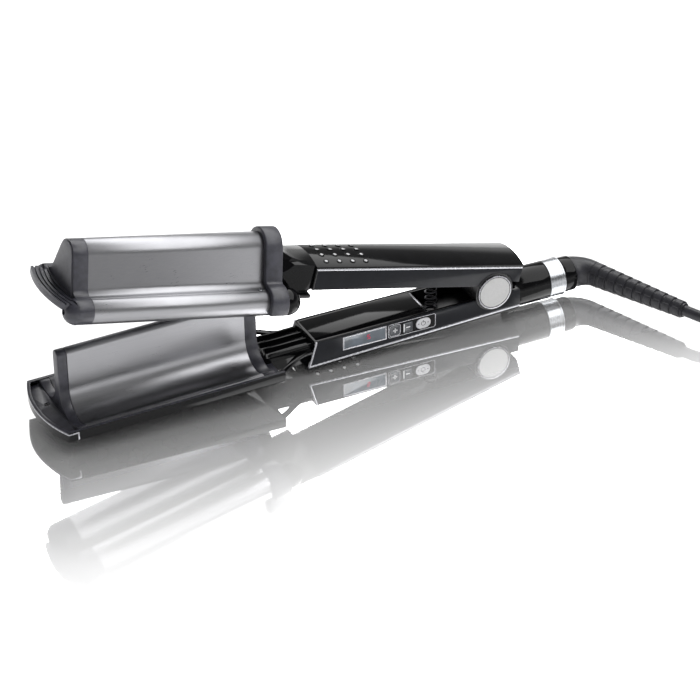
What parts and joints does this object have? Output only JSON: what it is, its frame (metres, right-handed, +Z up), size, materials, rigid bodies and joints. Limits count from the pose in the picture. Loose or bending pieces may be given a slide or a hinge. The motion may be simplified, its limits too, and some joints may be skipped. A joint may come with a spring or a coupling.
{
  "type": "hair crimper",
  "caption": "Deep waver hair crimper with wave plates on spring-opened handles hinged at the rear, side controls, a swivel cord outlet, a ribbed sleeve and a coiled cord with plug.",
  "frame": {"origin": "bottom centre of the tool without its sleeve, cord and plug, on the surface that the lower jaw's flat bottom rests on", "axes": "+X runs from the jaws' tips to the swivel, +Y to the far side, +Z up; the controls face -Y"},
  "size_m": [0.5629, 0.1569, 0.1213],
  "materials": {
    "plate_metal": "satin",
    "jaw_grey": "satin",
    "gloss_black": "glossy",
    "inner_black": "satin",
    "panel_slate": "satin",
    "silver_trim": "satin",
    "dot_white": "satin",
    "disc_silver": "satin",
    "steel": "satin",
    "heater_clay": "matte",
    "thermostat_cream": "matte",
    "board_green": "satin",
    "display_slate": "glossy",
    "button_grey": "satin",
    "button_white": "glossy",
    "soft_black": "matte",
    "plated_pins": "polished"
  },
  "bodies": {
    "lower_arm": {"lower_hull": "gloss_black", "tray_trim": "silver_trim", "lower_liner": "jaw_grey", "lower_wave_plate": "plate_metal", "lower_front_cap": "jaw_grey", "lower_rear_flange": "jaw_grey", "lower_heater": "heater_clay", "lower_thermostat": "thermostat_cream", "lower_neck": "gloss_black", "liner_screws": "steel", "lower_handle_shell": "gloss_black", "lower_inner_cover": "inner_black", "inner_cover_strip": "silver_trim", "lower_near_panel": "panel_slate", "lower_far_panel": "panel_slate", "lower_side_trims": "silver_trim", "lower_grip_dots": "dot_white", "lower_frame": "inner_black", "hinge_pin": "steel", "near_hinge_disc": "disc_silver", "far_hinge_disc": "disc_silver", "opening_spring": "steel", "control_board": "board_green", "display_module": "display_slate", "display_bezel": "silver_trim", "display_window": "display_slate", "swivel_housing": "gloss_black", "swivel_ring": "steel"},
    "upper_arm": {"upper_wave_plate": "plate_metal", "upper_cover": "plate_metal", "upper_front_cap": "jaw_grey", "upper_rear_flange": "jaw_grey", "upper_heater": "heater_clay", "upper_rivets": "steel", "upper_cap_screws": "steel", "upper_neck": "gloss_black", "upper_handle_shell": "gloss_black", "upper_inner_cover": "inner_black", "upper_near_panel": "panel_slate", "upper_far_panel": "panel_slate", "upper_side_trims": "silver_trim", "upper_grip_dots": "dot_white", "upper_frame": "inner_black"},
    "plus_button": {"plus_button": "button_grey"},
    "minus_button": {"minus_button": "button_grey"},
    "power_button": {"power_button": "button_white"},
    "swivel": {"swivel_spindle": "inner_black", "swivel_collar": "gloss_black", "elbow": "soft_black", "ribbed_sleeve": "soft_black", "cord": "soft_black", "cord_coil": "soft_black", "plug_lead": "soft_black", "plug_body": "soft_black", "plug_pins": "plated_pins"}
  },
  "joints": [
    {"name": "arm_hinge", "type": "hinge", "parent": "lower_arm", "child": "upper_arm", "pos_m": [0.10394, 0, 0.0247], "axis": [0, -1, 0], "range_deg": [0, 13.7], "stiffness_Nm_per_rad": 0.5, "springref_deg": -68.75, "deforming": ["opening_spring"]},
    {"name": "plus_press", "type": "slide", "parent": "lower_arm", "child": "plus_button", "axis": [0, 1, 0], "range_m": [0, 0.0005], "stiffness_N_per_m": 600, "springref_m": -0.001},
    {"name": "minus_press", "type": "slide", "parent": "lower_arm", "child": "minus_button", "axis": [0, 1, 0], "range_m": [0, 0.0005], "stiffness_N_per_m": 600, "springref_m": -0.001},
    {"name": "power_press", "type": "slide", "parent": "lower_arm", "child": "power_button", "axis": [0, 1, 0], "range_m": [0, 0.0005], "stiffness_N_per_m": 600, "springref_m": -0.001},
    {"name": "cord_swivel", "type": "hinge", "parent": "lower_arm", "child": "swivel", "pos_m": [0.16, 0, 0.0143], "axis": [1, 0, 0], "continuous": true}
  ]
}
